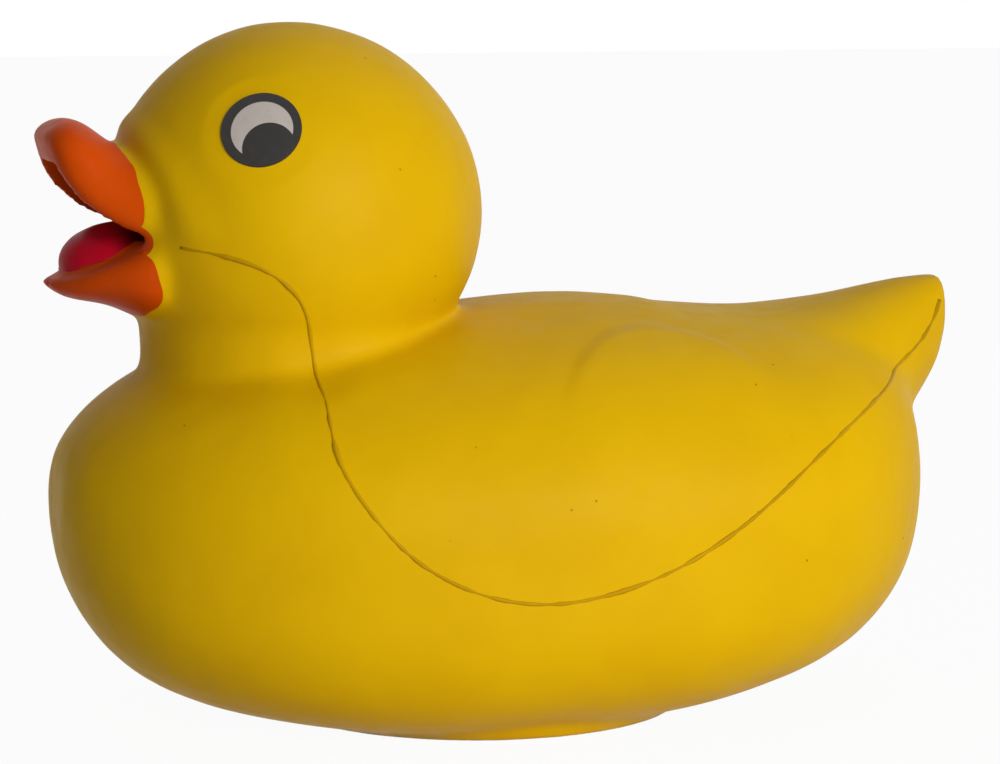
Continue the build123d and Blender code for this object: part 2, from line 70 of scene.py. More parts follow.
# %% Named places on the duck
head_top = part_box("upper_shell")[1].z
mouth_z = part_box("upper_bill")[0].z
flange_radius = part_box("well_cup")[1].x
head_radius = 60.7 * mm
head_forward = 62.1 * mm
head = Vector((head_forward, 0.0, head_top - head_radius))
head_front = head.x + head_radius
wall = 3.0 * mm
flange_margin = 0.5 * mm
foot_width = 9.0 * mm
recess_radius = flange_radius + flange_margin
foot_radius = recess_radius + foot_width
recess_top = 5.0 * mm
floor_top = 8.0 * mm
floor_hole = 47.2 * mm
print("head centre", head / mm, "mm")
print("mouth at", round(mouth_z / mm, 1), "mm, foot radius", round(foot_radius / mm, 1), "mm")

# %% [markdown]
# ## Camera
#
# The duck is seen from its left side, turned a little towards its bill, through a long lens that
# keeps the shape flat and calm. The camera is placed by its direction and distance from the foot,
# and is then raised so that the duck sits in the middle of the picture.

# %% The camera
turn_to_bill = math.radians(15.0)
camera_lift = math.radians(7.0)
camera_distance = 1.25
lens = 135.0
rise_to_middle = 105.5 * mm
shift_to_bill = 7.5 * mm

camera_data = bpy.data.cameras.new("camera")
camera_data.lens = lens
camera_data.clip_end = 20.0
camera = bpy.data.objects.new("camera", camera_data)
scene.collection.objects.link(camera)
scene.camera = camera
towards_camera = Vector(
    (
        math.sin(turn_to_bill) * math.cos(camera_lift),
        math.cos(turn_to_bill) * math.cos(camera_lift),
        math.sin(camera_lift),
    )
)
camera_turn = towards_camera.to_track_quat("Z", "Y")
camera_right = camera_turn @ Vector((1, 0, 0))
camera_up = camera_turn @ Vector((0, 1, 0))
camera.rotation_mode = "QUATERNION"
camera.rotation_quaternion = camera_turn
camera.location = towards_camera * camera_distance + camera_up * rise_to_middle + camera_right * shift_to_bill
print("camera at", [round(c, 3) for c in camera.location])

# %% [markdown]
# ## Small helpers for meshes
#
# A piece is built in a bmesh, turned into an object, smooth-shaded, and tied to the body that it
# moves with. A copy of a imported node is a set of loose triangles, so its doubles are merged first.


# %% Mesh helpers
def copy_of(*names):
    """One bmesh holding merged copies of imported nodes."""
    bm = bmesh.new()
    for name in names:
        bm.from_mesh(nodes[name].data)
    bmesh.ops.remove_doubles(bm, verts=bm.verts, dist=1e-6)
    return bm


def make_object(name, bm):
    """A linked object with the bmesh's shape, smooth-shaded."""
    mesh = bpy.data.meshes.new(name)
    bm.to_mesh(mesh)
    bm.free()
    for polygon in mesh.polygons:
        polygon.use_smooth = True
    obj = bpy.data.objects.new(name, mesh)
    scene.collection.objects.link(obj)
    return obj


def apply_modifiers(obj):
    """Puts what the modifiers do into the mesh itself."""
    depsgraph = bpy.context.evaluated_depsgraph_get()
    mesh = bpy.data.meshes.new_from_object(obj.evaluated_get(depsgraph))
    obj.modifiers.clear()
    obj.data = mesh
    for polygon in mesh.polygons:
        polygon.use_smooth = True


def remesh(obj, voxel):
    """Rebuilds the surface as one even skin."""
    modifier = obj.modifiers.new("remesh", "REMESH")
    modifier.mode = "VOXEL"
    modifier.voxel_size = voxel
    apply_modifiers(obj)


def keep_outer_skin(obj):
    """Drops every loose surface but the one that reaches furthest."""
    bm = bmesh.new()
    bm.from_mesh(obj.data)
    start = min(bm.verts, key=lambda v: v.co.x)
    outer = {start}
    edge_of_search = [start]
    while edge_of_search:
        vert = edge_of_search.pop()
        for edge in vert.link_edges:
            other = edge.other_vert(vert)
            if other not in outer:
                outer.add(other)
                edge_of_search.append(other)
    bmesh.ops.delete(bm, geom=[v for v in bm.verts if v not in outer], context="VERTS")
    bm.to_mesh(obj.data)
    bm.free()


def cut(obj, tool, operation):
    """A boolean with a closed tool, applied at once."""
    modifier = obj.modifiers.new("cut", "BOOLEAN")
    modifier.operation = operation
    modifier.solver = "MANIFOLD"
    modifier.object = tool
    apply_modifiers(obj)


def duplicate(obj, name):
    """A second object with its own copy of the mesh."""
    twin = bpy.data.objects.new(name, obj.data.copy())
    scene.collection.objects.link(twin)
    return twin


def discard(*objs):
    """Removes helper objects from the scene."""
    for obj in objs:
        bpy.data.objects.remove(obj, do_unlink=True)


# %% [markdown]
# ## Finishes as expressions
#
# Each finish is a small node tree. Writing it as arithmetic keeps it readable: a `Value` is one
# output of a node, and adding, multiplying or comparing values adds the Math nodes that do it.
# Every other kind of node comes from one method, which takes the node's type, its settings and what
# its sockets hold.


# %% A value in a material, and the material that holds it
class Value:
    """One output of a node. Arithmetic on it adds Math nodes to the same finish."""

    def __init__(self, finish, socket):
        self.finish = finish
        self.socket = socket

    def math(self, operation, first, second=0.0):
        return self.finish.node("ShaderNodeMath", {"operation": operation}, {0: first, 1: second})

    def __add__(self, other):
        return self.math("ADD", self, other)

    def __radd__(self, other):
        return self.math("ADD", other, self)

    def __sub__(self, other):
        return self.math("SUBTRACT", self, other)

    def __rsub__(self, other):
        return self.math("SUBTRACT", other, self)

    def __mul__(self, other):
        return self.math("MULTIPLY", self, other)

    def __rmul__(self, other):
        return self.math("MULTIPLY", other, self)

    def between(self, low, high):
        """0 below low, 1 above high, and smooth between them. low may be the larger."""
        return self.finish.node(
            "ShaderNodeMapRange",
            {"interpolation_type": "SMOOTHSTEP"},
            {"Value": self, "From Min": low, "From Max": high},
        )


class Finish:
    """A material with one Principled shader, whose sockets are filled by name."""

    def __init__(self, name, **constants):
        self.material = bpy.data.materials.new(name)
        self.material.use_nodes = True
        self.tree = self.material.node_tree
        self.shader = self.tree.nodes["Principled BSDF"]
        for socket, value in constants.items():
            self.put(self.shader.inputs[socket.replace("_", " ")], value)

    def put(self, socket, value):
        if isinstance(value, Value):
            self.tree.links.new(value.socket, socket)
        elif socket.type == "RGBA" and len(value) == 3:
            socket.default_value = (*value, 1.0)
        else:
            socket.default_value = value

    def node(self, kind, settings, sockets, output=0):
        """Adds a node of any kind: its settings first, then the values or links of its sockets."""
        node = self.tree.nodes.new(kind)
        for setting, value in settings.items():
            setattr(node, setting, value)
        for socket, value in sockets.items():
            self.put(node.inputs[socket], value)
        return Value(self, node.outputs[output])

    def place(self, centre=(0.0, 0.0, 0.0), stretch=(1.0, 1.0, 1.0)):
        """Object coordinates measured from a centre, and stretched along the axes."""
        coordinates = self.node("ShaderNodeTexCoord", {}, {}, "Object")
        moved = self.node(
            "ShaderNodeVectorMath", {"operation": "SUBTRACT"}, {0: coordinates, 1: tuple(centre)}
        )
        return self.node("ShaderNodeVectorMath", {"operation": "MULTIPLY"}, {0: moved, 1: stretch})

    def noise(self, size, detail=2.0, roughness=0.5, stretch=(1.0, 1.0, 1.0)):
        """Soft noise whose blotches are about size metres across."""
        place = self.place(stretch=stretch)
        sockets = {"Vector": place, "Scale": 1.0 / size, "Detail": detail, "Roughness": roughness}
        return self.node("ShaderNodeTexNoise", {}, sockets)

    def along(self, axis, place):
        """One coordinate of a place."""
        return self.node("ShaderNodeSeparateXYZ", {}, {0: place}, axis)

    def distance(self, place):
        """How far a place is from its centre."""
        return self.node("ShaderNodeVectorMath", {"operation": "LENGTH"}, {0: place}, "Value")

    def mix(self, first, second, amount):
        """One colour going over into another."""
        return self.node("ShaderNodeMix", {"data_type": "RGBA"}, {6: first, 7: second, 0: amount}, 2)

    def specks(self, spacing, share, size):
        """1 on small scattered specks and 0 elsewhere."""
        sockets = {"Vector": self.place(), "Scale": 1.0 / spacing}
        cells = self.node("ShaderNodeTexVoronoi", {}, sockets, "Distance")
        chosen = self.noise(spacing * 5.0, 1.0)
        return cells.between(size / spacing, size / spacing * 0.5) * chosen.between(share, share + 0.02)

    def set(self, **sockets):
        """Fills sockets of the shader."""
        for socket, value in sockets.items():
            self.put(self.shader.inputs[socket.replace("_", " ")], value)

    def relief(self, *layers):
        """Bump from layers of height, each given as a value and its depth in metres."""
        normal = None
        for height, depth in layers:
            sockets = {"Height": height, "Distance": depth, "Strength": 1.0}
            if normal is not None:
                sockets["Normal"] = normal
            normal = self.node("ShaderNodeBump", {}, sockets)
        self.set(Normal=normal)


def dress(obj, finish):
    """Gives an object one finish all over."""
    obj.data.materials.clear()
    obj.data.materials.append(finish.material)


# %% [markdown]
# ## The duck as one soft form
#
# The real skin is a soft vinyl moulding. It has no sharp edge anywhere: the head runs into the neck,
# the tail into the back and the bill into the cheek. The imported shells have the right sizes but
# crisp creases, so they are joined, remeshed as one even skin and then relaxed only where the
# moulding is soft. Modelling it again from curves would lose the sizes that the frame already holds.


# %% The duck as one closed form
plug_radius = foot_radius - 5 * mm
plug_depth = 7.5 * mm


def closed_duck(voxel):
    """Shells, bill, tongue and eyes in one skin, with the well's mouth plugged level with the foot."""
    bm = copy_of(
        "upper_shell",
        "lower_shell",
        "upper_bill",
        "lower_bill",
        "tongue",
        "left_eye_disc",
        "left_eye_glint",
        "right_eye_disc",
        "right_eye_glint",
    )
    bmesh.ops.create_cone(
        bm,
        cap_ends=True,
        segments=96,
        radius1=plug_radius,
        radius2=plug_radius,
        depth=plug_depth,
        matrix=Matrix.Translation((0, 0, plug_depth / 2)),
    )
    form = make_object("duck_form", bm)
    remesh(form, voxel)
    keep_outer_skin(form)
    return form


duck = closed_duck(1.4 * mm)
print("duck form:", len(duck.data.polygons), "faces")


# %% Relaxing the creases
def step(value, low, high):
    """0 at low, 1 at high, and smooth between them, either way round."""
    share = min(max((value - low) / (high - low), 0.0), 1.0)
    return share * share * (3.0 - 2.0 * share)


def relax(obj, weight_at, passes):
    """Smooths a surface as far as weight_at says at each place."""
    group = obj.vertex_groups.new(name="relax")
    for vertex in obj.data.vertices:
        weight = weight_at(vertex.co)
        if weight > 0.001:
            group.add([vertex.index], weight, "REPLACE")
    modifier = obj.modifiers.new("relax", "SMOOTH")
    modifier.factor = 0.5
    modifier.iterations = passes
    modifier.vertex_group = group.name
    apply_modifiers(obj)
    obj.vertex_groups.clear()


def near_bill(place):
    """1 on the bill and the face just round it."""
    sides = step(abs(place.y), 46 * mm, 38 * mm)
    return step(place.x, 94 * mm, 104 * mm) * sides * step(place.z, 118 * mm, 126 * mm)


def bill_root(place):
    """1 where the bill leaves the head's ball, and 0 on the free lips."""
    off_ball = abs((place - head).length - head_radius)
    return near_bill(place) * step(off_ball, 7 * mm, 2 * mm)


neck_level = 122 * mm


def neck_softness(place):
    """The crease all round the neck, but not the bill above it."""
    ring = math.hypot(place.x - head.x, place.y)
    level = step(abs(place.z - neck_level), 27 * mm, 13 * mm)
    return level * step(ring, 84 * mm, 66 * mm) * (1.0 - near_bill(place))


def tail_softness(place):
    """Where the tail rises out of the back, short of its tip."""
    behind = step(place.x, -40 * mm, -80 * mm) * step(place.x, -160 * mm, -152 * mm)
    return behind * step(place.z, 70 * mm, 90 * mm)


def end_softness(place):
    """The breast and the rump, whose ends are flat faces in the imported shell."""
    ahead = step(place.x, 108 * mm, 128 * mm) * step(place.z, 120 * mm, 108 * mm)
    astern = step(place.x, -110 * mm, -138 * mm) * step(place.z, 112 * mm, 100 * mm)
    return max(ahead, astern)


def foot_softness(place):
    """The outer edge of the foot, where it runs up into the belly."""
    ring = math.hypot(place.x, place.y)
    return step(ring, 64 * mm, 72 * mm) * step(place.z, 20 * mm, 9 * mm)


relax(duck, lambda place: 1.0, 3)
relax(duck, foot_softness, 60)
relax(duck, neck_softness, 45)
relax(duck, tail_softness, 80)
relax(duck, end_softness, 80)
relax(duck, bill_root, 14)
relax(duck, near_bill, 4)
print("duck relaxed:", [round(c / mm, 1) for c in duck.dimensions])

# %% [markdown]
# ## Small forms in the skin
#
# A moulded toy carries low relief that a plain shape lacks: a wing tip on each side of the back, a
# dimple where the seam crosses the neck, a cheek ridge behind the bill, and a skin that is never
# quite even. Each one is a short rule that says how far the surface moves out at a place.


# %% Wings, dimples and unevenness
wing_middle = -48 * mm
wing_edge = 41 * mm
wing_curl = 42 * mm
wing_height = 1.0 * mm
shoulder_height = 0.9 * mm
cheek_turn = 45 * mm
cheek_height = 1.1 * mm


def wing(place):
    """A low wing on the flank, whose upper edge curls over the back on a parabola."""
    side = abs(place.y)
    from_tip = place.x - wing_middle
    edge = wing_edge + from_tip * from_tip / wing_curl
    inside = step(side, edge - 4 * mm, edge + 6 * mm)
    length = step(place.x, -82 * mm, -70 * mm) * step(place.x, 6 * mm, -16 * mm)
    fade = step(side, 92 * mm, 60 * mm) * step(place.z, 96 * mm, 112 * mm)
    return wing_height * inside * length * fade


def shoulders(place):
    """The back is a little fuller as far as the wing tips."""
    over = step(place.x, -66 * mm, -54 * mm) * step(place.x, 22 * mm, 0 * mm)
    middle = step(abs(place.y), 34 * mm, 14 * mm) * step(place.z, 112 * mm, 122 * mm)
    return shoulder_height * over * middle


def hollow(place, centre, radius, depth):
    """A round dent, deepest at its centre."""
    return -depth * step((place - centre).length, radius, 0.0)


def cheek(place):
    """A low ridge on the head that follows the root of the bill."""
    turn = math.hypot(place.y, (place.z - mouth_z) * 1.25)
    ridge = step(abs(turn - cheek_turn), 8 * mm, 0.0)
    in_front = step(place.x, 84 * mm, 96 * mm)
    over_mouth = step(place.z, mouth_z - 4 * mm, mouth_z + 6 * mm)
    return cheek_height * ridge * in_front * over_mouth


dimple = Vector((66 * mm, 55 * mm, 119 * mm))
dimple_radius = 17 * mm
dimple_depth = 1.6 * mm
eye_radius = 12.7 * mm
eye_turn = math.radians(68.0)
eye_lift = math.radians(29.0)
eye_line = Vector(
    (
        math.cos(eye_lift) * math.cos(eye_turn),
        math.cos(eye_lift) * math.sin(eye_turn),
        math.sin(eye_lift),
    )
)
skin_under_eye = head_radius - 0.25 * mm


def sculpt(obj):
    """Moves each place along its normal, and seats the eyes on the true ball."""
    mesh = obj.data
    normals = [vertex.normal.copy() for vertex in mesh.vertices]
    for vertex, normal in zip(mesh.vertices, normals):
        place = vertex.co
        mirrored = Vector((place.x, abs(place.y), place.z))
        off_eye = (mirrored - (head + eye_line * head_radius)).length
        by_eye = step(off_eye, eye_radius + 7 * mm, eye_radius + 1.5 * mm)
        broad = noise.noise(place / (34 * mm)) * 0.55 * mm
        fine = noise.noise(place / (11 * mm)) * 0.12 * mm
        quiet = step(place.z, 6 * mm, 16 * mm) * (1.0 - near_bill(place) * 0.7)
        out = wing(place) + shoulders(place) + cheek(place) * (1.0 - by_eye)
        out += (broad + fine) * quiet * (1.0 - by_eye)
        out += hollow(mirrored, dimple, dimple_radius, dimple_depth)
        moved = place + normal * out
        if by_eye > 0.0:
            from_head = moved - head
            seated = head + from_head.normalized() * skin_under_eye
            moved = moved.lerp(seated, by_eye)
        vertex.co = moved
    mesh.update()


sculpt(duck)
print("duck sculpted:", [round(c / mm, 1) for c in duck.dimensions])

# %% [markdown]
# ## Four pieces from one form
#
# The two shells and the two halves of the bill are separate pieces on the object, so the soft form is
# cut where they meet. The seam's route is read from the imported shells: it is where the upper one
# touches the lower one. The bill is what stands outside the ball of the head, with the throat. Both
# cuts are booleans on one form, so the pieces still fit exactly.


# %% The seam's route
def seam_route(spacing):
    """Places where the upper shell touches the lower one, as (x, z), from the mouth to the tail."""
    upper, lower = copy_of("upper_shell"), copy_of("lower_shell")
    lower_tree = BVHTree.FromBMesh(lower)
    pool = []
    for vert in upper.verts:
        beside = abs(vert.co.y) > 8 * mm and vert.co.x < head_front - 13 * mm
        if beside and lower_tree.find_nearest(vert.co)[3] < 0.05 * mm:
            pool.append(Vector((vert.co.x, vert.co.z)))
    upper.free()
    lower.free()
    here = max(pool, key=lambda p: p.x)
    route = [here]
    while True:
        pool = [p for p in pool if (p - here).length > spacing]
        if not pool:
            break
        here = min(pool, key=lambda p: (p - route[-1]).length)
        route.append(here)
    return route


def evenly(points, spacing):
    """The same route with a place at least every spacing."""
    places = [points[0]]
    for start, end in zip(points, points[1:]):
        count = max(1, round((end - start).length / spacing))
        places += [start.lerp(end, i / count) for i in range(1, count + 1)]
    return places


route = seam_route(2.0 * mm)
print("seam:", len(route), "places, from", route[0] / mm, "to", route[-1] / mm)

# %% [markdown]
# ## Cutting tools
#
# A closed tool is what a boolean needs. The seam's tool is the seam's route carried far above and
# far out to the sides. The bill's tool is a block less the ball of the head, so that the paint's edge
# follows the face. Its ball is a little larger than the head and slightly uneven, because a sprayed
# edge is never a clean circle.

# %% Cutting tools
reach = 260 * mm
throat_length = 44 * mm


def seam_block():
    """Everything above the seam."""
    bm = bmesh.new()
    outline = [Vector((reach, mouth_z)), Vector((reach, 2 * reach)), Vector((-reach, 2 * reach))]
    outline += [Vector((-reach, route[-1].y)), *reversed(route), Vector((route[0].x + 2 * mm, mouth_z))]
    face = bm.faces.new([bm.verts.new((p.x, -reach, p.y)) for p in outline])
    grown = bmesh.ops.extrude_face_region(bm, geom=[face])
    moving = [item for item in grown["geom"] if isinstance(item, bmesh.types.BMVert)]
    bmesh.ops.translate(bm, verts=moving, vec=(0, 2 * reach, 0))
    bmesh.ops.triangulate(bm, faces=bm.faces)
    bmesh.ops.recalc_face_normals(bm, faces=bm.faces)
    return make_object("seam_block", bm)


def drum(name, radius, bottom, top):
    """A round cutting tool about the well's axis."""
    bm = bmesh.new()
    bmesh.ops.create_cone(
        bm,
        cap_ends=True,
        segments=128,
        radius1=radius,
        radius2=radius,
        depth=top - bottom,
        matrix=Matrix.Translation((0, 0, (bottom + top) / 2)),
    )
    return make_object(name, bm)


def bill_block(ball_radius, wobble):
    """What stands outside the ball in front of the face, with the throat behind it."""
    bm = bmesh.new()
    size = Matrix.Diagonal((100 * mm, 96 * mm, 76 * mm, 1.0))
    middle = Matrix.Translation((142 * mm, 0, mouth_z + 9.5 * mm))
    bmesh.ops.create_cube(bm, size=1.0, matrix=middle @ size)
    block = make_object("bill_block", bm)
    ball_bm = bmesh.new()
    bmesh.ops.create_icosphere(ball_bm, subdivisions=6, radius=ball_radius, matrix=Matrix.Translation(head))
    for vert in ball_bm.verts:
        away = (vert.co - head).normalized()
        vert.co += away * noise.noise(away * 9.0) * wobble
    ball = make_object("ball", ball_bm)
    cut(block, ball, "DIFFERENCE")
    throat_bm = bmesh.new()
    throat_middle = Matrix.Translation((128 * mm, 0, mouth_z + 0.5 * mm))
    lying = Matrix.Rotation(math.pi / 2, 4, "Y")
    throat_size = Matrix.Diagonal((23 * mm, 33 * mm, 1.0, 1.0))
    bmesh.ops.create_cone(
        throat_bm,
        cap_ends=True,
        segments=96,
        radius1=1.0,
        radius2=1.0,
        depth=throat_length,
        matrix=throat_middle @ lying @ throat_size,
    )
    throat = make_object("throat", throat_bm)
    cut(block, throat, "UNION")
    discard(ball, throat)
    return block


paint_edge = 2.6 * mm
paint_wobble = 0.7 * mm
above = seam_block()
bill_tool = bill_block(head_radius + paint_edge, paint_wobble)

# %% [markdown]
# ## A hollow skin
#
# The real float is hollow. The cavity is a coarser copy of the form, moved inwards and remeshed, and
# it is taken out of the skin before the seam cuts it in two. It is moved in by more than the wall,
# because the coarse copy rounds the crease at the neck and would otherwise break through there.

# %% Cavity, shells and bill
cavity_spare = 2.4 * mm
cavity = duplicate(duck, "cavity")
cut(cavity, bill_tool, "DIFFERENCE")
remesh(cavity, 4 * mm)
keep_outer_skin(cavity)
thinner = cavity.modifiers.new("thinner", "DISPLACE")
thinner.strength = -wall - cavity_spare
thinner.mid_level = 0.0
apply_modifiers(cavity)
remesh(cavity, 3 * mm)
keep_outer_skin(cavity)
under_floor = drum("under_floor", reach, -reach, floor_top)
cut(cavity, under_floor, "DIFFERENCE")

upper_bill = duplicate(duck, "upper_bill_skin")
cut(upper_bill, bill_tool, "INTERSECT")
lower_bill = duplicate(upper_bill, "lower_bill_skin")
cut(upper_bill, above, "INTERSECT")
cut(lower_bill, above, "DIFFERENCE")

upper_shell = duplicate(duck, "upper_shell_skin")
cut(upper_shell, bill_tool, "DIFFERENCE")
cut(upper_shell, cavity, "DIFFERENCE")
lower_shell = duplicate(upper_shell, "lower_shell_skin")
cut(upper_shell, above, "INTERSECT")
cut(lower_shell, above, "DIFFERENCE")
recess = drum("recess", recess_radius, -10 * mm, recess_top)
opening = drum("opening", floor_hole, -10 * mm, floor_top + 6 * mm)
cut(lower_shell, recess, "DIFFERENCE")
cut(lower_shell, opening, "DIFFERENCE")

tongue = make_object("tongue_skin", copy_of("tongue"))
remesh(tongue, 0.8 * mm)
relax(tongue, lambda place: 1.0, 5)
for vertex in tongue.data.vertices:
    vertex.co += vertex.normal * (0.5 + 0.35 * noise.noise(vertex.co / (6 * mm))) * mm
cut(lower_bill, tongue, "DIFFERENCE")


crisp_from = math.radians(35.0)
for piece in (upper_shell, lower_shell, upper_bill, lower_bill):
    piece.data.set_sharp_from_angle(angle=crisp_from)
    print(piece.name, len(piece.data.polygons), "faces", [round(c / mm, 1) for c in piece.dimensions])

# %% [markdown]
# ## The welded seam
#
# Where the shells were welded, a thin bead of vinyl stands just proud of the skin. It wanders in
# width and all but vanishes in places. A tube that follows the skin, sunk for more than half its
# thickness, gives that with a radius that changes along its length; a bump alone would not show
# on the outline or in the exported shape.


# %% The seam's bead
def skin_tree():
    """A search tree over the outer form, to find places on it."""
    bm = bmesh.new()
    bm.from_mesh(duck.data)
    tree = BVHTree.FromBMesh(bm)
    bm.free()
    return tree


tree = skin_tree()


def bead(name, sides_of, sink, thickness):
    """A closed tube along each list of (place, normal), sunk into the skin."""
    curve = bpy.data.curves.new(name, "CURVE")
    curve.dimensions = "3D"
    curve.bevel_depth = thickness
    curve.bevel_resolution = 2
    curve.use_fill_caps = True
    for line in sides_of:
        spline = curve.splines.new("POLY")
        spline.points.add(len(line) - 1)
        for point, (place, normal) in zip(spline.points, line):
            swell = 0.8 + 0.45 * noise.noise(place / (7 * mm))
            swell += 0.25 * noise.noise(place / (2.3 * mm))
            point.co = (*(place - normal * sink), 1.0)
            point.radius = max(swell, 0.35)
    holder = bpy.data.objects.new(name, curve)
    scene.collection.objects.link(holder)
    mesh = bpy.data.meshes.new_from_object(holder.evaluated_get(bpy.context.evaluated_depsgraph_get()))
    bpy.data.objects.remove(holder, do_unlink=True)
    bm = bmesh.new()
    bm.from_mesh(mesh)
    bmesh.ops.remove_doubles(bm, verts=bm.verts, dist=1e-6)
    bmesh.ops.recalc_face_normals(bm, faces=bm.faces)
    return make_object(name, bm)


def on_skin(x, z, side):
    """The outermost place on one side of the duck, and its normal."""
    place, normal = tree.ray_cast(Vector((x, side * reach, z)), Vector((0, -side, 0)))[:2]
    return (place, normal) if place is not None else None


seam_sides = []
for side in (1, -1):
    line = [on_skin(p.x, p.y, side) for p in evenly(route[1:-1], 1.2 * mm)]
    seam_sides.append([found for found in line if found is not None])
seam = bead("seam_bead", seam_sides, 0.25 * mm, 0.85 * mm)
print("seam bead:", len(seam.data.polygons), "faces")

# A finer bead runs under the lower lip, from the corner of the mouth to the tip of the bill.
lip_steps = 25
lip_sides = []
for side in (1, -1):
    line = []
    for i in range(lip_steps + 1):
        share = i / lip_steps
        x = head_front - (8 - 33 * share) * mm
        z = mouth_z - (2.2 + 11.5 * share) * mm
        found = on_skin(x, z, side)
        if found is not None and found[0].y * side > 3 * mm:
            line.append(found)
    lip_sides.append(line)
lip_bead = bead("lip_bead", lip_sides, 0.2 * mm, 0.6 * mm)

# %% [markdown]
# ## Finishes of the duck
#
# Vinyl takes its colour all through, so its colour hardly changes: what shows are faint blotches, a
# few dark specks from the mould, and a gloss that is weak face on and grey at a glancing angle. The
# specular level is low for that reason. The bill is the same vinyl sprayed orange, and the mouth is
# sprayed red, so both keep the grain and change only in colour. The throat, the back of the tongue and
# the lower bill are coloured darker than their paint, which is painted shade.

# %% Vinyl finishes
yellow = (0.66, 0.390, 0.0005)
deep_yellow = (0.61, 0.345, 0.0005)
orange = (0.60, 0.068, 0.0010)
deep_orange = (0.50, 0.048, 0.0010)
dark_speck = (0.16, 0.08, 0.004)
vinyl_gloss = 0.05


def vinyl(name, light, deep, roughness):
    """Soft vinyl, with faint blotches, mould specks and a skin that is a little uneven."""
    finish = Finish(name, IOR=1.45, Specular_IOR_Level=vinyl_gloss)
    blotches = finish.noise(42 * mm, 3.0).between(0.3, 0.75)
    colour = finish.mix(light, deep, blotches * 0.7)
    specks = finish.specks(9 * mm, 0.56, 0.55 * mm)
    colour = finish.mix(colour, dark_speck, specks * 0.7)
    worn = finish.noise(6 * mm, 4.0).between(0.35, 0.75)
    finish.set(Roughness=worn * 0.10 + roughness)
    grain = finish.noise(0.9 * mm, 2.0)
    dents = finish.noise(13 * mm, 3.0)
    finish.relief((grain, 0.012 * mm), (dents, 0.22 * mm))
    return finish, colour


skin, skin_colour = vinyl("yellow_vinyl", yellow, deep_yellow, 0.44)
skin.set(Base_Color=skin_colour)
dress(upper_shell, skin)
dress(lower_shell, skin)

weld, weld_colour = vinyl("welded_vinyl", (0.50, 0.28, 0.001), (0.34, 0.18, 0.001), 0.36)
weld.set(Base_Color=weld_colour)
dress(seam, weld)

bill_finish, bill_colour = vinyl("orange_vinyl", orange, deep_orange, 0.40)
# Painted shade: round the throat the orange goes over into a very dark red, for the shade deep in the mouth.
throat_place = bill_finish.place((head_front - 8 * mm, 0, mouth_z + 3 * mm), (1.0, 0.62, 1.0))
throat_shade_mask = bill_finish.distance(throat_place).between(19 * mm, 12 * mm)
bill_colour = bill_finish.mix(bill_colour, (0.070, 0.0012, 0.0010), throat_shade_mask)
bill_finish.set(Base_Color=bill_colour)
dress(upper_bill, bill_finish)

# Painted shade: the lower bill is a slightly darker copy of the same orange paint, for the shade under the
# upper bill.
shaded_lower_orange = (0.56, 0.064, 0.001)
shaded_lower_deep_orange = (0.46, 0.044, 0.001)
lower_finish, lower_colour = vinyl("orange_vinyl_painted_shade", shaded_lower_orange, shaded_lower_deep_orange, 0.40)
lower_finish.set(Base_Color=lower_colour)
dress(lower_bill, lower_finish)
lip_finish, lip_colour = vinyl("lip_vinyl", (0.40, 0.045, 0.001), (0.30, 0.030, 0.001), 0.36)
lip_finish.set(Base_Color=lip_colour)
dress(lip_bead, lip_finish)

# Painted shade: the tongue's red darkens towards its back, for the shade deep in the throat; the red itself
# is the mouth's paint.
shaded_throat_red = (0.09, 0.001, 0.003)
tongue_finish, tongue_colour = vinyl("red_vinyl", (0.52, 0.0035, 0.020), (0.40, 0.0025, 0.014), 0.38)
from_front = tongue_finish.along("X", tongue_finish.place((head_front, 0, 0)))
tongue_colour = tongue_finish.mix(tongue_colour, shaded_throat_red, from_front.between(2 * mm, -9 * mm))
tongue_finish.set(Base_Color=tongue_colour)
dress(tongue, tongue_finish)


# %% [markdown]
# ## Printed eyes
#
# The eyes are ink on vinyl. Their packed discs already have the right outline, so they stay and only
# get a finish: ink is even, thins out in patches, and shines a little more than the skin.


# %% Printed eyes
def printed(name, colour, thin):
    """Ink over vinyl: even, but thinner in places, with a slightly pebbled gloss."""
    finish = Finish(name, IOR=1.5, Specular_IOR_Level=0.35)
    patchy = finish.noise(3 * mm, 4.0).between(0.45, 0.8)
    finish.set(Base_Color=finish.mix(colour, thin, patchy * 0.5))
    finish.set(Roughness=finish.noise(1.5 * mm, 3.0).between(0.3, 0.7) * 0.12 + 0.36)
    finish.relief((finish.noise(0.7 * mm, 2.0), 0.012 * mm))
    return finish


black_ink = printed("black_ink", (0.0125, 0.0105, 0.0090), (0.024, 0.019, 0.013))
white_ink = printed("white_ink", (0.46, 0.41, 0.375), (0.40, 0.345, 0.29))
for side in ("left", "right"):
    dress(nodes[side + "_eye_disc"], black_ink)
    dress(nodes[side + "_eye_glint"], white_ink)

# %% [markdown]
# ## Finishes of the dispenser
#
# The parts under the belly are plain moulded plastic, rubber and metal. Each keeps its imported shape,
# so the finish has to say what it is: plastic has a fine grain from the mould and grows chalky in
# blotches where chlorine reaches it, rubber is dull and dusty, steel shows rings about the well's
# axis, and the ballast is rough cast iron.


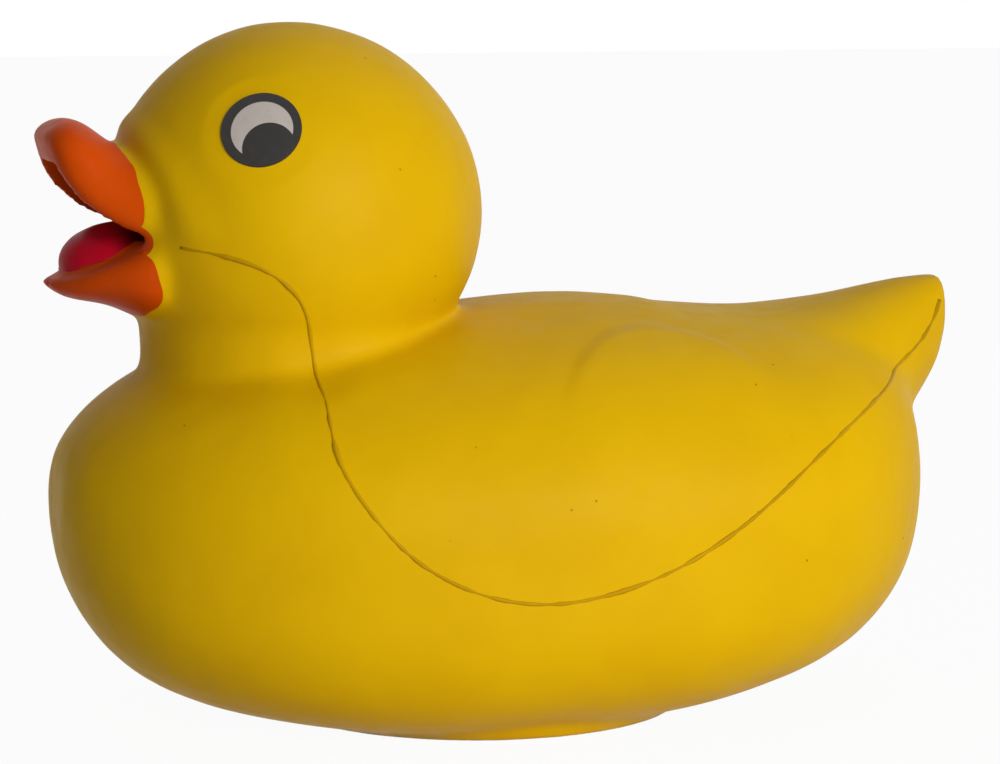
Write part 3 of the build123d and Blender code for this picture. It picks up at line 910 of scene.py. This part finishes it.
# %% Plastics
def moulded(name, colour, chalk, roughness=0.38, bleach=0.5):
    """Moulded plastic that chlorine has made chalky in blotches."""
    finish = Finish(name, IOR=1.5, Specular_IOR_Level=0.4)
    blotches = finish.noise(16 * mm, 4.0).between(0.4, 0.75)
    flow = finish.noise(5 * mm, 3.0, stretch=(1.0, 1.0, 0.2)).between(0.3, 0.8)
    base = finish.mix(colour, tuple(0.86 * c for c in colour), flow * 0.5)
    base = finish.mix(base, chalk, blotches * bleach)
    finish.set(Base_Color=base)
    finish.set(Roughness=finish.noise(4 * mm, 4.0).between(0.25, 0.75) * 0.16 + roughness)
    finish.relief((finish.noise(0.5 * mm, 2.0), 0.014 * mm), (finish.noise(9 * mm, 2.0), 0.08 * mm))
    return finish


white_plastic = moulded("white_plastic", (0.72, 0.72, 0.69), (0.78, 0.78, 0.75), 0.36, 0.6)
grey_plastic = moulded("grey_plastic", (0.16, 0.17, 0.18), (0.27, 0.28, 0.28), 0.42, 0.45)
orange_plastic = moulded("orange_plastic", (0.56, 0.085, 0.006), (0.62, 0.17, 0.05), 0.36, 0.4)

# %% Rubber
rubber = Finish("black_rubber", IOR=1.5, Specular_IOR_Level=0.3)
dust = rubber.noise(7 * mm, 5.0).between(0.45, 0.8)
rubber.set(Base_Color=rubber.mix((0.018, 0.018, 0.019), (0.075, 0.072, 0.066), dust * 0.8))
rubber.set(Roughness=rubber.noise(3 * mm, 3.0).between(0.2, 0.8) * 0.15 + 0.62)
rubber.relief((rubber.noise(0.6 * mm, 3.0), 0.02 * mm))


# %% Metals
def turned(name, colour, tarnish, roughness):
    """Metal turned on a lathe: fine rings about the well's axis, and a little tarnish."""
    finish = Finish(name, Metallic=1.0)
    rings = finish.node(
        "ShaderNodeTexWave",
        {"wave_type": "RINGS", "rings_direction": "Z", "bands_direction": "X"},
        {"Vector": finish.place(), "Scale": 900.0, "Distortion": 1.5, "Detail": 2.0},
        "Fac",
    )
    spots = finish.noise(5 * mm, 5.0).between(0.5, 0.8)
    finish.set(Base_Color=finish.mix(colour, tarnish, spots * 0.6))
    finish.set(Roughness=rings * 0.08 + spots * 0.15 + roughness)
    finish.relief((rings, 0.006 * mm))
    return finish


steel = turned("stainless_steel", (0.60, 0.60, 0.58), (0.42, 0.39, 0.34), 0.24)
iron = Finish("cast_iron", IOR=2.2)
rust = iron.noise(8 * mm, 5.0).between(0.45, 0.7)
iron.set(Base_Color=iron.mix((0.055, 0.052, 0.050), (0.16, 0.055, 0.020), rust))
iron.set(Metallic=(1.0 - rust) * 0.8)
iron.set(Roughness=rust * 0.3 + 0.5)
iron.relief((iron.noise(1.6 * mm, 4.0), 0.12 * mm))

node_finishes = {
    "well_cup": white_plastic,
    "basket": white_plastic,
    "lock_ring": grey_plastic,
    "flow_dial": orange_plastic,
    "well_gasket": rubber,
    "basket_seal": rubber,
    "ring_clip": steel,
    "flange_screws": steel,
    "dial_screw": steel,
    "dial_washer": steel,
    "dial_nut": steel,
    "ballast_ring": iron,
}
for name, finish in node_finishes.items():
    dress(nodes[name], finish)
print("finishes on", len(node_finishes), "packed nodes")

# %% [markdown]
# ## What moves with what
#
# Every new piece belongs to the duck itself, so it rides on the float. The soft skins stand for the
# packed shells and bill, which stay underneath for the contact model.

# %% Riding and standing in
for piece, node, slot in (
    (upper_shell, "upper_shell", "yellow_skin"),
    (lower_shell, "lower_shell", "yellow_skin"),
    (upper_bill, "upper_bill", "orange_vinyl"),
    (lower_bill, "lower_bill", "orange_vinyl"),
    (tongue, "tongue", "red_vinyl"),
):
    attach(piece, "float")
    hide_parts(node)
for piece, slot in ((seam, "yellow_skin"), (lip_bead, "orange_vinyl")):
    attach(piece, "float")
discard(duck, cavity, above, bill_tool, under_floor, recess, opening)

# %% [markdown]
# ## Floor, backdrop and light
#
# The duck stands on a plain pale floor that runs out to white. The white is what the camera sees, and
# what gloss and glass reflect. Diffuse light doesn't see it, so it doesn't wash out the duck. The
# floor is not wholly white: a small share of its own shading is left in, which keeps a faint shadow.


# %% Floor and world
def seen_not_lit(tree, share):
    """How much of the white a ray gets: all of it for camera, mirror and glass rays, none for light."""
    path = tree.nodes.new("ShaderNodeLightPath")
    last = path.outputs["Is Camera Ray"]
    for output in ("Is Glossy Ray", "Is Transmission Ray"):
        most = tree.nodes.new("ShaderNodeMath")
        most.operation = "MAXIMUM"
        tree.links.new(last, most.inputs[0])
        tree.links.new(path.outputs[output], most.inputs[1])
        last = most.outputs[0]
    scaled = tree.nodes.new("ShaderNodeMath")
    scaled.operation = "MULTIPLY"
    scaled.inputs[1].default_value = share
    tree.links.new(last, scaled.inputs[0])
    return scaled.outputs[0]


def blend_into(tree, output, plain, white, share):
    """Shows white to the rays that see it, and the plain shader to the rest."""
    blend = tree.nodes.new("ShaderNodeMixShader")
    tree.links.new(seen_not_lit(tree, share), blend.inputs[0])
    tree.links.new(plain.outputs[0], blend.inputs[1])
    tree.links.new(white.outputs[0], blend.inputs[2])
    tree.links.new(blend.outputs[0], output.inputs["Surface"])


pure_white = (1.0, 1.0, 1.0, 1.0)
ambient_light = 0.22
floor_whiteness = 0.95
world = bpy.data.worlds.new("studio")
scene.world = world
world.use_nodes = True
ambient = world.node_tree.nodes["Background"]
ambient.inputs["Color"].default_value = pure_white
ambient.inputs["Strength"].default_value = ambient_light
backdrop = world.node_tree.nodes.new("ShaderNodeBackground")
backdrop.inputs["Color"].default_value = pure_white
backdrop.inputs["Strength"].default_value = 1.0
blend_into(world.node_tree, world.node_tree.nodes["World Output"], ambient, backdrop, 1.0)

floor_bm = bmesh.new()
bmesh.ops.create_grid(floor_bm, x_segments=1, y_segments=1, size=6.0)
floor = make_object("floor", floor_bm)
floor_material = bpy.data.materials.new("pale_floor")
floor_material.use_nodes = True
floor_shader = floor_material.node_tree.nodes["Principled BSDF"]
floor_shader.inputs["Base Color"].default_value = (0.8, 0.8, 0.8, 1.0)
floor_shader.inputs["Roughness"].default_value = 0.9
glow = floor_material.node_tree.nodes.new("ShaderNodeEmission")
glow.inputs["Color"].default_value = pure_white
glow.inputs["Strength"].default_value = 1.0
floor_output = floor_material.node_tree.nodes["Material Output"]
blend_into(floor_material.node_tree, floor_output, floor_shader, glow, floor_whiteness)
floor.data.materials.append(floor_material)


# %% [markdown]
# ## Lamps
#
# The key lamp is large and stands a little above the camera and to its right, so the breast and the
# left edges fall off. A weak lamp high over the far side and towards the tail separates the back from
# the floor. Both are low enough that yellow doesn't clip.


# %% Lamps
aim = Vector((0, 0, 0.1))


def soft_lamp(name, place, size, power):
    """A square lamp aimed at the duck's middle."""
    data = bpy.data.lights.new(name, "AREA")
    data.shape = "SQUARE"
    data.size = size
    data.energy = power
    lamp = bpy.data.objects.new(name, data)
    lamp.location = place
    lamp.rotation_mode = "QUATERNION"
    lamp.rotation_quaternion = (place - aim).to_track_quat("Z", "Y")
    scene.collection.objects.link(lamp)


soft_lamp("key", towards_camera * 1.2 + camera_right * 0.75 + camera_up * 0.3, 0.8, 17.0)
soft_lamp("top", Vector((-0.5, -0.4, 1.4)), 0.9, 2.0)

# %% [markdown]
# ## The view transform
#
# The colours are shown through the plain Standard view transform.

# %% The view transform
scene.view_settings.view_transform = "Standard"
